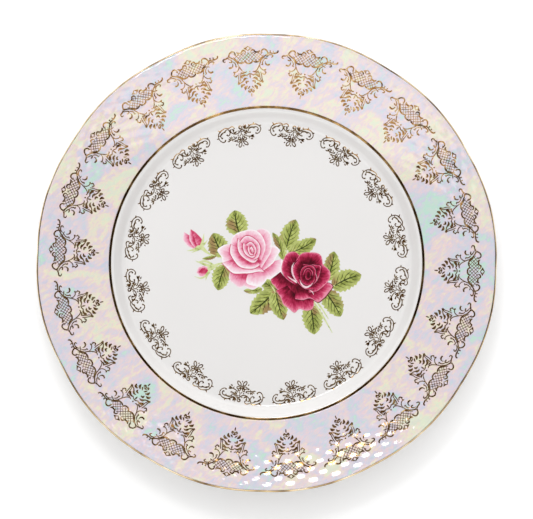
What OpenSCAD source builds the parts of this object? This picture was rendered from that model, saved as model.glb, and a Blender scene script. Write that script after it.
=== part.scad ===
// Rimmed china dinner plate: a pressed porcelain body, its glaze coats, a pearl lustre rim,
// two gilt lines, gold transfer ornaments and a printed spray of two roses.
// Millimetres. +Z is up, and the origin is at the centre of the circle that the foot stands on.

/* [Plate] */
// Radius to the tips of the edge's lobes
plate_r = 133; // [125:1:140]
// Number of soft lobes round the edge
lobe_count = 12; // [8:1:16]
// Depth of the notch between two lobes
lobe_depth = 0.8; // [0.4:0.1:1.2]
// Angle of the first notch, anticlockwise from +X
notch_angle = 28; // [0:1:30]

/* [Well] */
// Radius of the flat floor
floor_r = 80.5; // [78:0.5:82]
// Height of the porcelain floor above the table
floor_z = 7; // [6:0.5:9]
// Fillet radius where the floor turns up into the wall
wall_fillet = 7; // [6:0.5:9]
// Slope of the wall
wall_slope = 50; // [45:1:55]
// Length of the wall's straight stretch
wall_straight = 3; // [2:0.5:5]
// Radius of the shoulder between the wall and the rim
shoulder_r = 4.5; // [4:0.5:6]

/* [Rim] */
// Slope of the rim beside the shoulder
rim_slope_in = 10; // [8:1:12]
// Slope of the rim at the edge
rim_slope_out = 16; // [14:1:18]
// Porcelain thickness of the wall and rim
rim_t = 3; // [2.6:0.1:3.2]

/* [Foot] */
// Porcelain thickness of the floor
floor_t = 3.8; // [3.4:0.1:4]
// Outer radius of the foot ring
foot_r = 80.4; // [79:0.1:81]
// Width of the foot ring
foot_w = 3.6; // [3:0.1:4]
// Rounding of the foot's corners
foot_corner = 0.5; // [0.3:0.1:0.8]
// Fillets at the root of the foot
foot_fillet = 1.6; // [1.2:0.1:1.8]
// Height of the unglazed band at the bottom of the foot
bare_h = 1; // [0.8:0.1:1.4]

/* [Coats] */
// Glaze thickness
glaze_t = 0.25; // [0.2:0.01:0.3]
// Thickness of the lustre coat and of the two gilt lines
lustre_t = 0.2; // [0.15:0.01:0.25]
// Thickness of the printed transfers
print_t = 0.12; // [0.1:0.01:0.15]
// Width of the gilt line on the face side of the edge
edge_line_w = 0.4; // [0.3:0.1:1.5]
// Inner radius of the gilt line on the shoulder
verge_line_r = 89.9; // [89:0.1:90.5]
// Width of the gilt line on the shoulder
verge_line_w = 1.3; // [1:0.1:1.6]

/* [Ornaments] */
// Number of gold ornaments on the rim
rim_ornaments = 22; // [22:1:22]
// Radius at the middle of a rim ornament
rim_ornament_r = 110.8; // [109:0.1:112]
// Angle of the first rim ornament, clockwise from +Y
rim_ornament_start = 10.8; // [0:0.1:16]
// Number of gold ornaments round the floor
well_ornaments = 16; // [16:1:16]
// Radius at the middle of a floor ornament
well_ornament_r = 78; // [76:0.1:78.5]
// Angle of the first floor ornament, clockwise from +Y
well_ornament_start = 10.6; // [0:0.1:22]

/* [Hidden] */
$fn = 180;
LEAVES = 8;
// The rim transfers are laid by hand: how far each has slipped clockwise, in degrees.
RIM_SLIPS = [0.7, 0.8, 0.8, 0.7, 0.4, 0.2, -0.1, -1, -1.6, -2, -0.9,
             -0.2, 0, 0.1, 0.2, 0.1, 0.5, 0.5, 0.6, 0.5, 0.3, 0.5];
RIM_NAMES = [for (k = [1 : rim_ornaments]) str("rim_ornament_", k < 10 ? "0" : "", k)];
WELL_NAMES = [for (k = [1 : well_ornaments]) str("well_ornament_", k < 10 ? "0" : "", k)];
LEAF_NAMES = [for (k = [1 : LEAVES]) str("rose_leaf_", k)];

arc_steps = 6;
overrun = 2;                       // the rim's arc runs on past the lobes, and the edge outline cuts it
edge_coats = glaze_t + lustre_t;   // glaze and gilding over the porcelain's edge
floor_top = floor_z + glaze_t;
slab_h = 60;                       // taller than the plate, for outlines that cut through it

// A face point is [radius, height, slope]; its normal is (-sin slope, cos slope).
function offset_point(p, d) = [p[0] - d * sin(p[2]), p[1] + d * cos(p[2])];
function offset_path(path, d) = [for (p = path) offset_point(p, d)];
// An arc that starts at p and turns from slope a to slope b; bend is 1 turning up and -1 turning down.
function turn(p, radius, a, b, bend) = [for (i = [1 : arc_steps]) let (s = a + (b - a) * i / arc_steps)
    [p[0] + bend * radius * (sin(s) - sin(a)), p[1] - bend * radius * (cos(s) - cos(a)), s]];
function last(list) = list[len(list) - 1];

floor_end = [floor_r, floor_z, 0];
wall_turn = turn(floor_end, wall_fillet, 0, wall_slope, 1);
wall_end = [last(wall_turn)[0] + wall_straight * cos(wall_slope),
            last(wall_turn)[1] + wall_straight * sin(wall_slope), wall_slope];
shoulder = turn(wall_end, shoulder_r, wall_slope, rim_slope_in, -1);
rim_start = last(shoulder);
rim_r = (plate_r + overrun - rim_start[0]) / (sin(rim_slope_out) - sin(rim_slope_in));
rim = turn(rim_start, rim_r, rim_slope_in, rim_slope_out, 1);
rim_path = concat([rim_start], rim);
face_path = concat([[0, floor_z, 0], floor_end], wall_turn, [wall_end], shoulder, rim);

// The back follows the face at rim_t until it meets the fillet at the root of the foot.
back_r = wall_fillet + rim_t;
root_x = foot_r + foot_fillet;
root_z = floor_z + wall_fillet - sqrt(pow(back_r + foot_fillet, 2) - pow(root_x - floor_r, 2));
root_slope = asin((root_x - floor_r) / (back_r + foot_fillet));
back_wall = [for (i = [0 : arc_steps]) let (s = root_slope + (wall_slope - root_slope) * i / arc_steps)
    [floor_r + wall_fillet * sin(s), floor_z + wall_fillet * (1 - cos(s)), s]];
back_path = concat(back_wall, [wall_end], shoulder, rim);
// Outline of the foot's outer side at thickness d over the porcelain, from the root fillet downwards.
function foot_outside(d, z) = concat(
    [for (i = [0 : arc_steps]) let (a = 90 + root_slope + (90 - root_slope) * i / arc_steps)
        [root_x + (foot_fillet - d) * cos(a), root_z + (foot_fillet - d) * sin(a)]],
    [[foot_r + d, z]]);
base_z = floor_z - floor_t;
foot_in = foot_r - foot_w;
function foot_inside(d, z) = concat(
    [[foot_in - d, z]],
    [for (i = [0 : arc_steps]) let (a = 90 * i / arc_steps)
        [foot_in - foot_fillet + (foot_fillet - d) * cos(a), base_z - foot_fillet + (foot_fillet - d) * sin(a)]],
    [[0, base_z - d]]);
function reversed(list) = [for (i = [len(list) - 1 : -1 : 0]) list[i]];
foot_bottom = concat(
    [for (i = [0 : 3]) let (a = -30 * i)
        [foot_r - foot_corner + foot_corner * cos(a), foot_corner + foot_corner * sin(a)]],
    [for (i = [0 : 3]) let (a = -90 - 30 * i)
        [foot_in + foot_corner + foot_corner * cos(a), foot_corner + foot_corner * sin(a)]]);

// The edge's lobes are arcs of circles set off-centre, worked out so that the notches are lobe_depth deep.
half_lobe = 180 / lobe_count;
lobe_ratio = lobe_depth / (plate_r * (1 - cos(half_lobe)));
lobe_r = plate_r / (1 + lobe_ratio);
lobe_offset = plate_r - lobe_r;

module edge_outline(inset) {
    for (k = [0 : lobe_count - 1])
        rotate(notch_angle + half_lobe + k * 2 * half_lobe)
            translate([lobe_offset, 0])
                circle(r = lobe_r - inset);
}

module edge_slab(inset) {
    translate([0, 0, -1])
        linear_extrude(slab_h)
            edge_outline(inset);
}

// A revolved coat between two thicknesses over the face, along a path.
module face_coat(path, from, to) {
    rotate_extrude()
        polygon(concat(offset_path(path, from), reversed(offset_path(path, to))));
}

module porcelain_body() {
    color("ivory")
        intersection() {
            rotate_extrude()
                polygon(concat(offset_path(face_path, 0), reversed(offset_path(back_path, -rim_t)),
                               foot_outside(0, foot_corner), foot_bottom, foot_inside(0, foot_corner)));
            edge_slab(edge_coats);
        }
}

module face_glaze() {
    color("white")
        intersection() {
            face_coat(face_path, 0, glaze_t);
            edge_slab(lustre_t);
        }
}

// The back coat runs round the edge and stops above the foot's bare band.
module back_glaze() {
    color("white")
        union() {
            intersection() {
                rotate_extrude()
                    polygon(concat(reversed(offset_path(back_path, -rim_t)), foot_outside(0, bare_h),
                                   reversed(foot_outside(glaze_t, bare_h)),
                                   offset_path(back_path, -rim_t - glaze_t)));
                edge_slab(lustre_t);
            }
            intersection() {
                face_coat(rim_path, -rim_t, 0);
                difference() {
                    edge_slab(lustre_t);
                    edge_slab(edge_coats);
                }
            }
        }
}

module base_glaze() {
    color("white")
        rotate_extrude()
            polygon(concat(foot_inside(0, bare_h), reversed(foot_inside(glaze_t, bare_h))));
}

module pearl_lustre() {
    color("thistle")
        difference() {
            intersection() {
                face_coat(rim_path, glaze_t, edge_coats);
                edge_slab(lustre_t + edge_line_w);
            }
            cylinder(r = verge_line_r + verge_line_w, h = slab_h);
        }
}

module gold_edge_line() {
    color("goldenrod")
        union() {
            intersection() {
                face_coat(rim_path, -rim_t - glaze_t, edge_coats);
                difference() {
                    edge_slab(0);
                    edge_slab(lustre_t);
                }
            }
            intersection() {
                face_coat(rim_path, glaze_t, edge_coats);
                difference() {
                    edge_slab(lustre_t);
                    edge_slab(lustre_t + edge_line_w);
                }
            }
        }
}

module gold_verge_line() {
    color("goldenrod")
        intersection() {
            face_coat(concat(shoulder, rim), glaze_t, edge_coats);
            difference() {
                cylinder(r = verge_line_r + verge_line_w, h = slab_h);
                cylinder(r = verge_line_r, h = slab_h);
            }
        }
}

// A pointed leaf from the origin along +Y: the overlap of two circles.
module leaf(length, width) {
    bow = (length * length / 4 + width * width / 4) / width;
    intersection() {
        translate([bow - width / 2, length / 2]) circle(r = bow);
        translate([width / 2 - bow, length / 2]) circle(r = bow);
    }
}

// A stroke of even width between two points.
module stroke(from, to, width) {
    reach = to - from;
    translate(from)
        rotate(atan2(reach[1], reach[0]))
            translate([0, -width / 2])
                square([norm(reach), width]);
}

module mirrored() {
    children();
    mirror([1, 0, 0]) children();
}

// Rim ornament: a crested cartouche on two stems over a pendant of paired leaves.
module rim_motif() {
    translate([0, 12.9]) rotate(45) square(2, center = true);
    difference() {
        union() {
            translate([0, 9.3]) circle(r = 3.2);
            mirrored() translate([4.6, 9.2]) circle(r = 3);
            mirrored() translate([9.4, 9.6]) circle(r = 2.4);
            mirrored() translate([13.2, 8.4]) circle(r = 1.7);
        }
        translate([0, 10.2]) square([2, 2], center = true);
        mirrored() translate([4.7, 9.8]) square([2, 2], center = true);
    }
    mirrored() {
        stroke([6.6, 8.6], [4.4, 2], 0.8);
        translate([8.4, 0.8]) circle(r = 1.3);
        translate([11.6, 4.6]) circle(r = 0.9);
        translate([6.8, 1]) rotate(170) leaf(7, 1.4);
        for (row = [0 : 3])
            translate([4.6 - row * 1.15, -0.4 - row * 2.3]) rotate(-70 + row * 6) leaf(3.2, 1.4);
    }
    stroke([0, 2.2], [0, -12.4], 0.7);
}

// Floor ornament: two scrolls joined over a daisy pendant.
module well_motif() {
    mirrored() {
        translate([8.2, 2.2])
            difference() {
                circle(r = 4);
                circle(r = 3.1);
                translate([-6, -5]) square([5.6, 5]);
            }
        stroke([0.4, 5.4], [8.2, 5.8], 0.8);
        stroke([0.8, 0.6], [7.2, 0.2], 0.8);
        translate([1.6, 2.4]) rotate(-20) leaf(3, 1.6);
    }
    for (a = [-150, -110, -70, -30, 30, 70, 110, 150])
        translate([0, -2.6]) rotate(a + 180) leaf(4, 1.5);
    translate([0, -2.6]) circle(r = 1.1);
}

module rim_ornament(k) {
    color("goldenrod")
        intersection() {
            face_coat(rim_path, edge_coats, edge_coats + print_t);
            rotate(-rim_ornament_start - k * 360 / rim_ornaments - RIM_SLIPS[k])
                translate([0, rim_ornament_r, 0])
                    linear_extrude(slab_h)
                        rim_motif();
        }
}

// A flat print on the glazed floor.
module floor_print() {
    translate([0, 0, floor_top])
        linear_extrude(print_t)
            children();
}

module well_ornament(k) {
    color("goldenrod")
        intersection() {
            union() {
                rotate_extrude()
                    polygon([[60, floor_top], [floor_r, floor_top],
                             [floor_r, floor_top + print_t], [60, floor_top + print_t]]);
                face_coat(concat([floor_end], wall_turn), glaze_t, glaze_t + print_t);
            }
            rotate(-well_ornament_start - k * 360 / well_ornaments)
                translate([0, well_ornament_r, 0])
                    linear_extrude(slab_h)
                        well_motif();
        }
}

// Outlines of the two roses, petal by petal, from the plate's centre.
module pink_outline() {
    translate([-9, 7]) circle(r = 11);
    translate([-10, 14]) circle(r = 6.5);
    translate([2, 14]) circle(r = 5.5);
    translate([-21, 6]) circle(r = 6.5);
    translate([-16, -5]) circle(r = 7.5);
    translate([0, -4]) circle(r = 8);
    translate([3, 5]) circle(r = 6);
}

module crimson_outline() {
    translate([24, -6]) circle(r = 12.5);
    translate([14, 0]) circle(r = 6.5);
    translate([26, 3]) circle(r = 5.5);
    translate([32, -12]) circle(r = 7);
    translate([10, -10]) circle(r = 6);
    translate([15, -20]) circle(r = 7);
    translate([23, -22]) circle(r = 5.5);
}

// Rose leaves as [base, tip, width].
LEAF_PLACES = [
    [[-16, 18], [-18, 32], 12],
    [[-26, 4], [-31, 19], 10],
    [[-25, -1], [-28, -15], 10],
    [[11, 9], [17, 27], 9.5],
    [[36, -9], [39, 8], 9],
    [[39, -13], [56, -6], 12],
    [[34, -16], [43, -30], 11],
    [[24, -25], [28, -41], 11]];
SMALL_LEAF_PLACES = [
    [[13, 7], [29, 15], 8],
    [[4, -16], [-10, -29], 12],
    [[5, -17], [10, -32], 7.5]];

module placed_leaf(place) {
    reach = place[1] - place[0];
    difference() {
        translate(place[0])
            rotate(atan2(reach[1], reach[0]) - 90)
                leaf(norm(reach), place[2]);
        pink_outline();
        crimson_outline();
    }
}

module rose_leaf(k) {
    color("darkseagreen") floor_print() placed_leaf(LEAF_PLACES[k]);
}

module small_leaves() {
    color("darkseagreen")
        floor_print() {
            difference() {
                placed_leaf(SMALL_LEAF_PLACES[0]);
                placed_leaf(LEAF_PLACES[3]);
            }
            placed_leaf(SMALL_LEAF_PLACES[1]);
            difference() {
                placed_leaf(SMALL_LEAF_PLACES[2]);
                placed_leaf(SMALL_LEAF_PLACES[1]);
            }
        }
}

module pink_rose() {
    color("pink")
        floor_print()
            difference() {
                pink_outline();
                crimson_outline();
            }
}

module crimson_rose() {
    color("crimson") floor_print() crimson_outline();
}

module large_bud_outline() {
    translate([-43.5, 8.5]) leaf(12, 8);
}

module small_bud_outline() {
    translate([-34.5, -3.5]) rotate(90) leaf(7, 5.5);
}

module large_rosebud() {
    color("palevioletred") floor_print() large_bud_outline();
}

module small_rosebud() {
    color("palevioletred") floor_print() small_bud_outline();
}

module rose_stems() {
    color("yellowgreen")
        floor_print()
            difference() {
                union() {
                    stroke([-42, 9.5], [-27, 4], 1.2);
                    stroke([-36, -3], [-24, 1.5], 1.2);
                    stroke([28, -22], [39, -40], 0.6);
                }
                pink_outline();
                crimson_outline();
                large_bud_outline();
                small_bud_outline();
                for (place = LEAF_PLACES) placed_leaf(place);
            }
}

porcelain_body();
face_glaze();
back_glaze();
base_glaze();
pearl_lustre();
gold_edge_line();
gold_verge_line();
for (k = [0 : rim_ornaments - 1]) rim_ornament(k);
for (k = [0 : well_ornaments - 1]) well_ornament(k);
pink_rose();
crimson_rose();
large_rosebud();
small_rosebud();
rose_stems();
small_leaves();
for (k = [0 : LEAVES - 1]) rose_leaf(k);
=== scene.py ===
import math

import bpy
import numpy as np
from mathutils import Matrix, Vector


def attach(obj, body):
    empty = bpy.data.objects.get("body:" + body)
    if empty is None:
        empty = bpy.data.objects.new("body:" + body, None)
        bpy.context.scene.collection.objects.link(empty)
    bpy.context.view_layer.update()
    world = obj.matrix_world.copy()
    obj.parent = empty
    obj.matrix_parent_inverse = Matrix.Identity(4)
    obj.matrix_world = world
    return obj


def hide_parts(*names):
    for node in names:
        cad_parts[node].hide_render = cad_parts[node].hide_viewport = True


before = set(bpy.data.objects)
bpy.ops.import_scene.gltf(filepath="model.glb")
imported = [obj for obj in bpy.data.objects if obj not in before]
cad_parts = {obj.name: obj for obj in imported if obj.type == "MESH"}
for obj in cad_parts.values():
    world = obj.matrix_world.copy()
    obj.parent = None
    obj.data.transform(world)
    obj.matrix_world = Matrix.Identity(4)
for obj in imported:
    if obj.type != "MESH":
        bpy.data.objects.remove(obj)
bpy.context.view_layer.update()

# --- Camera, floor and lights ---------------------------------------------------------------------
# The plate lies on a plain white floor and is looked down on, a few degrees to the front of its
# axis. A tent of soft light stands round it, open overhead and flagged dark at its two sides, with
# a lamp behind and a white card in front.

MM = 0.001
view_distance, view_tilt, view_lens = 1500, math.radians(5.2), 175.2
look_at = Vector((-0.1, 1.6, 14)) * MM

bpy.ops.object.select_all(action="DESELECT")
away = Vector((0, -math.sin(view_tilt), math.cos(view_tilt)))
bpy.ops.object.camera_add(location=look_at + away * view_distance * MM)
camera = bpy.context.object
camera.rotation_euler = (-away).to_track_quat("-Z", "Y").to_euler()
camera.data.lens, camera.data.sensor_width = view_lens, 36
camera.data.clip_start, camera.data.clip_end = 0.05, 20
bpy.context.scene.camera = camera
bpy.context.scene.view_settings.view_transform = "Standard"


def lamp(name, direction, distance, size, power, colour=(1, 1, 1)):
    """A rectangular soft lamp that shines at the plate's middle from a direction in degrees."""
    towards_back, towards_right = (math.tan(math.radians(a)) for a in direction)
    place = Vector((towards_right, towards_back, 1)).normalized() * distance
    bpy.ops.object.light_add(type="AREA", location=place, rotation=place.to_track_quat("Z", "Y").to_euler())
    light = bpy.context.object
    light.name = name
    light.data.shape = "RECTANGLE"
    light.data.size, light.data.size_y = size
    light.data.energy, light.data.color = power, colour


lamp("lamp_behind", (34.5, -9), 1.6, (0.52, 0.23), 4.0)
lamp("lamp_behind_left", (27, 15), 1.6, (0.2, 0.1), 0.14)
lamp("card_in_front", (-18, -2), 1.7, (1.4, 0.76), 4.2)
lamp("fill_overhead", (22, 0), 1.3, (1.2, 1.2), 7.6)
bpy.context.object.visible_glossy = False

bpy.ops.mesh.primitive_plane_add(size=6, location=(0, 0, 0))
floor = bpy.context.object
floor.name = "studio_floor"


def surface(name, **settings):
    """A new material: its shader's own settings, with underscores for spaces in their names."""
    material = bpy.data.materials.new(name)
    material.use_nodes = True
    shader = material.node_tree.nodes["Principled BSDF"]
    for setting, value in settings.items():
        shader.inputs[setting.replace("_", " ")].default_value = value
    return material


def node(material, kind, inputs, **options):
    """Adds a shader node; an input's value is a number, a colour or another node's output."""
    made = material.node_tree.nodes.new("ShaderNode" + kind)
    for option, value in options.items():
        setattr(made, option, value)
    for socket, value in inputs.items():
        if isinstance(value, bpy.types.NodeSocket):
            material.node_tree.links.new(value, made.inputs[socket])
        else:
            made.inputs[socket].default_value = value
    return made


def connect(material, output, setting):
    shader = material.node_tree.nodes["Principled BSDF"]
    material.node_tree.links.new(output, shader.inputs[setting])


def bands(material, factor, stops):
    """A colour ramp through (place, colour) stops."""
    ramp = node(material, "ValToRGB", {"Fac": factor})
    elements = ramp.color_ramp.elements
    while len(elements) < len(stops):
        elements.new(0.5)
    for element, (place, colour) in zip(elements, stops):
        element.position, element.color = place, (*colour, 1)
    return ramp.outputs["Color"]


def grain(material, scale, detail=2, distortion=0, roughness=0.5):
    """Noise over the piece's own place, with features about 1/scale metres across."""
    place = node(material, "TexCoord", {}).outputs["Object"]
    return node(material, "TexNoise", {"Vector": place, "Scale": scale, "Detail": detail,
                                       "Roughness": roughness, "Distortion": distortion}).outputs["Fac"]


paper = surface("white_paper", Roughness=1.0, Emission_Color=(1, 1, 1, 1), Emission_Strength=0.12)
paper.node_tree.nodes["Principled BSDF"].inputs["Specular IOR Level"].default_value = 0
connect(paper, bands(paper, grain(paper, 900), [(0, (0.955, 0.955, 0.955)), (1, (0.97, 0.97, 0.97))]),
        "Base Color")
floor.data.materials.append(paper)

tent = bpy.data.worlds.new("light_tent")
bpy.context.scene.world = tent
tent.use_nodes = True
tent_nodes, tent_links = tent.node_tree.nodes, tent.node_tree.links
height = tent_nodes.new("ShaderNodeSeparateXYZ")
tent_links.new(tent_nodes.new("ShaderNodeTexCoord").outputs["Generated"], height.inputs[0])
wall = tent_nodes.new("ShaderNodeValToRGB")
tent_links.new(height.outputs["Z"], wall.inputs["Fac"])
for place, level in ((0.5, 1.0), (0.64, 0.98), (0.74, 0.12)):
    stop = wall.color_ramp.elements.new(place)
    stop.color = (level, level, level, 1)
wall.color_ramp.elements[0].color = (1, 1, 1, 1)
wall.color_ramp.elements[-1].color = (0.09, 0.09, 0.09, 1)


def along(axis, start, end, gain):
    """A gain on the tent's light that is reached as a direction turns towards an axis, either way."""
    turned_to = tent_nodes.new("ShaderNodeMath")
    turned_to.operation = "ABSOLUTE"
    tent_links.new(height.outputs[axis], turned_to.inputs[0])
    ramp = tent_nodes.new("ShaderNodeMapRange")
    tent_links.new(turned_to.outputs[0], ramp.inputs["Value"])
    for setting, value in (("From Min", start), ("From Max", end), ("To Min", 1), ("To Max", gain)):
        ramp.inputs[setting].default_value = value
    return ramp.outputs[0]


gain = tent_nodes.new("ShaderNodeMath")
gain.operation = "MULTIPLY"
tent_links.new(along("X", 0.78, 0.88, 0.02), gain.inputs[0])
tent_links.new(along("Y", 0.76, 0.92, 1.7), gain.inputs[1])
flagged = tent_nodes.new("ShaderNodeVectorMath")
flagged.operation = "SCALE"
tent_links.new(wall.outputs["Color"], flagged.inputs[0])
tent_links.new(gain.outputs[0], flagged.inputs["Scale"])
tent_links.new(flagged.outputs[0], tent_nodes["Background"].inputs["Color"])
tent_nodes["Background"].inputs["Strength"].default_value = 1.0

# --- Porcelain body -------------------------------------------------------------------------------
# Pressed from hard white porcelain clay between a former and a jigger, then fired unglazed at the
# foot. Its section is one line: floor, wall, shoulder, rim, rolled lip, back, foot ring and base.

plate_r = 133
lobes, lobe_depth, lobes_start_r, first_notch = 12, 0.6, 127, math.radians(28)
floor_r, floor_z, floor_t = 80.5, 7, 3.8
wall_fillet, wall_slope, wall_straight, shoulder_r = 7, 50, 3, 4.5
rim_slope_in, rim_slope_out, rim_t = 10, 16, 3
foot_r, foot_w, foot_corner, foot_fillet, bare_band = 80.4, 3.6, 0.5, 1.6, 1
glaze_t, lustre_t = 0.25, 0.2
coats = glaze_t + lustre_t


def go(start, moves, step=2.5):
    """Points (radius, height, slope) of a section: a move is a straight's length, or an arc's
    radius and the slope that it ends at. A point stands on the line's left at offset()."""
    points = [start]
    for move in moves:
        r, z, slope = points[-1]
        if isinstance(move, tuple):
            radius, end = move
            side = 1 if end > slope else -1
            count = max(5, math.ceil(radius * math.radians(abs(end - slope)) / step))
            a = math.radians(slope)
            for b in np.radians(np.linspace(slope, end, count + 1)[1:]):
                points.append((r + side * radius * (math.sin(b) - math.sin(a)),
                               z - side * radius * (math.cos(b) - math.cos(a)), math.degrees(b)))
        else:
            count = max(1, math.ceil(move / 12))
            for reach in np.linspace(0, move, count + 1)[1:]:
                points.append((r + reach * math.cos(math.radians(slope)),
                               z + reach * math.sin(math.radians(slope)), slope))
    return points


def offset(points, distance):
    return [(r - distance * math.sin(math.radians(s)), z + distance * math.cos(math.radians(s)))
            for r, z, s in points]


lip_r = rim_t / 2
lip_centre = plate_r - coats - lip_r
rim_reach = math.sin(math.radians(rim_slope_out)) - math.sin(math.radians(rim_slope_in))
floor_line = go((0, floor_z, 0), [floor_r])
wall_line = go(floor_line[-1], [(wall_fillet, wall_slope), wall_straight], 0.5)
shoulder_line = go(wall_line[-1], [(shoulder_r, rim_slope_in)], 0.4)
rim_r = (lip_centre - lip_r * math.sin(math.radians(rim_slope_out)) - shoulder_line[-1][0]) / rim_reach
rim_line = go(shoulder_line[-1], [(rim_r, rim_slope_out)], 0.5)
lip_line = go(rim_line[-1], [(lip_r, rim_slope_out - 180)], 0.4)
back_r = wall_fillet + rim_t
root_slope = math.degrees(math.asin((foot_r + foot_fillet - floor_r) / (back_r + foot_fillet)))
back_moves = [(rim_r + rim_t, rim_slope_in - 180), (shoulder_r - rim_t, wall_slope - 180),
              wall_straight, (back_r, root_slope - 180), (foot_fillet, -90)]
foot_top_z = go(lip_line[-1], back_moves)[-1][1]
back_line = go(lip_line[-1], back_moves + [foot_top_z - bare_band])
tread_line = go(back_line[-1], [bare_band - foot_corner, (foot_corner, -180), foot_w - 2 * foot_corner,
                                (foot_corner, -270), bare_band - foot_corner])
base_moves = [floor_z - floor_t - foot_fillet - bare_band, (foot_fillet, -180)]
base_flat_r = go(tread_line[-1], base_moves)[-1][0]
base_line = go(tread_line[-1], base_moves + [base_flat_r])


def turned(name, outline, around=360):
    """Turns a section round the plate's axis, as a wheel does. An outline that starts and ends on
    the axis makes a solid, and any other a closed ring."""
    bpy.ops.object.select_all(action="DESELECT")
    bpy.ops.mesh.primitive_circle_add(vertices=len(outline), radius=0.1)
    piece = bpy.context.object
    piece.name = name
    for vertex, (r, z) in zip(piece.data.vertices, outline):
        vertex.co = (r * MM, 0, z * MM)
    if abs(outline[0][0]) < 1e-6 and abs(outline[-1][0]) < 1e-6:
        ends = {0, len(outline) - 1}
        for edge in piece.data.edges:
            edge.select = set(edge.vertices) == ends
        for vertex in piece.data.vertices:
            vertex.select = vertex.index in ends
        bpy.ops.object.mode_set(mode="EDIT")
        bpy.ops.mesh.delete(type="EDGE")
        bpy.ops.object.mode_set(mode="OBJECT")
    bpy.ops.object.mode_set(mode="EDIT")
    bpy.ops.mesh.select_all(action="SELECT")
    bpy.ops.mesh.spin(steps=around, angle=2 * math.pi, center=(0, 0, 0), axis=(0, 0, 1))
    bpy.ops.mesh.select_all(action="SELECT")
    bpy.ops.mesh.remove_doubles(threshold=1e-6)
    bpy.ops.mesh.normals_make_consistent(inside=False)
    bpy.ops.object.mode_set(mode="OBJECT")
    bpy.ops.object.shade_smooth()
    return piece


def points_of(piece):
    """The piece's points in millimetres, one row each."""
    flat = np.empty(len(piece.data.vertices) * 3)
    piece.data.vertices.foreach_get("co", flat)
    return flat.reshape(-1, 3) / MM


def put_points(piece, points):
    piece.data.vertices.foreach_set("co", (points * MM).ravel())
    piece.data.update()


def lobed(piece):
    """Draws the round edge in to its soft lobes, down the rim's own slope."""
    points = points_of(piece)
    r, angle = np.hypot(points[:, 0], points[:, 1]), np.arctan2(points[:, 1], points[:, 0])
    half_lobe = math.pi / lobes
    from_crest = np.abs((angle - first_notch) % (2 * half_lobe) - half_lobe) / half_lobe
    share = np.clip((r - lobes_start_r) / (lip_centre - lobes_start_r), 0, 1)
    pull = lobe_depth * 4 / 3 * (from_crest ** 2 - from_crest ** 8 / 4) * share
    points[:, 0] -= pull * np.cos(angle)
    points[:, 1] -= pull * np.sin(angle)
    points[:, 2] -= pull * math.tan(math.radians(rim_slope_out))
    put_points(piece, points)


def fitted(piece, slot, *nodes):
    """The piece is part of the plate: it stands for these solids. The slot it is given is not used."""
    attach(piece, "root")
    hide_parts(*nodes)
    return piece


face_line = floor_line + wall_line[1:] + shoulder_line[1:] + rim_line[1:]
whole_section = (floor_line + wall_line[1:] + shoulder_line[1:] + rim_line[1::6] + lip_line +
                 back_line[1:] + tread_line[1:] + base_line[1:])
body = turned("plate_body", offset(whole_section, 0), 240)
lobed(body)
biscuit = surface("bare_porcelain", Roughness=0.75)
connect(biscuit, bands(biscuit, grain(biscuit, 260, 6),
                       [(0.3, (0.70, 0.66, 0.59)), (0.7, (0.82, 0.79, 0.73))]), "Base Color")
connect(biscuit, node(biscuit, "Bump", {"Height": grain(biscuit, 2600, 3), "Strength": 0.35,
                                        "Distance": 0.0001}).outputs["Normal"], "Normal")
body.data.materials.append(biscuit)
fitted(body, "porcelain", "porcelain_body")

# --- Glaze ------------------------------------------------------------------------------------------
# Clear feldspar glaze fired hard over the white body, in three stretches that meet: the face, the
# back down to the bare band of the foot, and the base inside the foot.

white_glaze = surface("white_glaze", Roughness=0.07, Coat_Weight=0.3, Coat_Roughness=0.03)
connect(white_glaze, bands(white_glaze, grain(white_glaze, 14, 3),
                           [(0.3, (0.80, 0.785, 0.775)), (0.7, (0.815, 0.80, 0.79))]), "Base Color")
connect(white_glaze, node(white_glaze, "Bump", {"Height": grain(white_glaze, 55, 2), "Strength": 0.05,
                                                "Distance": 0.0004}).outputs["Normal"], "Normal")


def coat(name, line, thickness, around, under=0):
    """A closed skin over a stretch of the section."""
    return turned(name, offset(line, thickness) + offset(line[::-1], under), around)


for name, line, around, solid in (
        ("glaze_of_face", face_line[:len(floor_line) + len(wall_line) + len(shoulder_line) - 2] +
         rim_line[1::4] + lip_line[1:len(lip_line) // 2], 480, "face_glaze"),
        ("glaze_of_back", lip_line[len(lip_line) // 2 - 1:] + back_line[1:], 360, "back_glaze"),
        ("glaze_of_base", base_line, 240, "base_glaze")):
    glaze = coat(name, line, glaze_t, around)
    lobed(glaze)
    glaze.data.materials.append(white_glaze)
    fitted(glaze, "glaze", solid)

# --- Pearl lustre rim -------------------------------------------------------------------------------
# The rim is pressed with staggered rows of shallow oval bumps, over which a bismuth lustre is
# brushed and fired in streaks: a pearly skin, its iridescent sheen painted into its colour as clouds of pink,
# mint, cream and blue.

columns, row_pitch, edge_row, relief = 60, 3.21, 129.9, 0.34
bumps_start_r, bumps_grow, bumps_end_r, bumps_end_fade = 94, 24, 131.5, 1.2
verge_line_r, verge_line_w, edge_line_slope = 89.9, 1.3, -25


def embossing(r, angle):
    """Height of the bumps over the rim's plain surface, in millimetres."""
    lattice = np.cos(columns * angle) * np.cos(math.pi * (edge_row - r) / row_pitch)
    fade = np.clip((r - bumps_start_r) / bumps_grow, 0, 1)
    fade = fade * np.clip((bumps_end_r - r) / bumps_end_fade, 0, 1)
    return relief * fade ** 1.5 * np.sqrt(0.51 + 0.49 * lattice)


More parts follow.
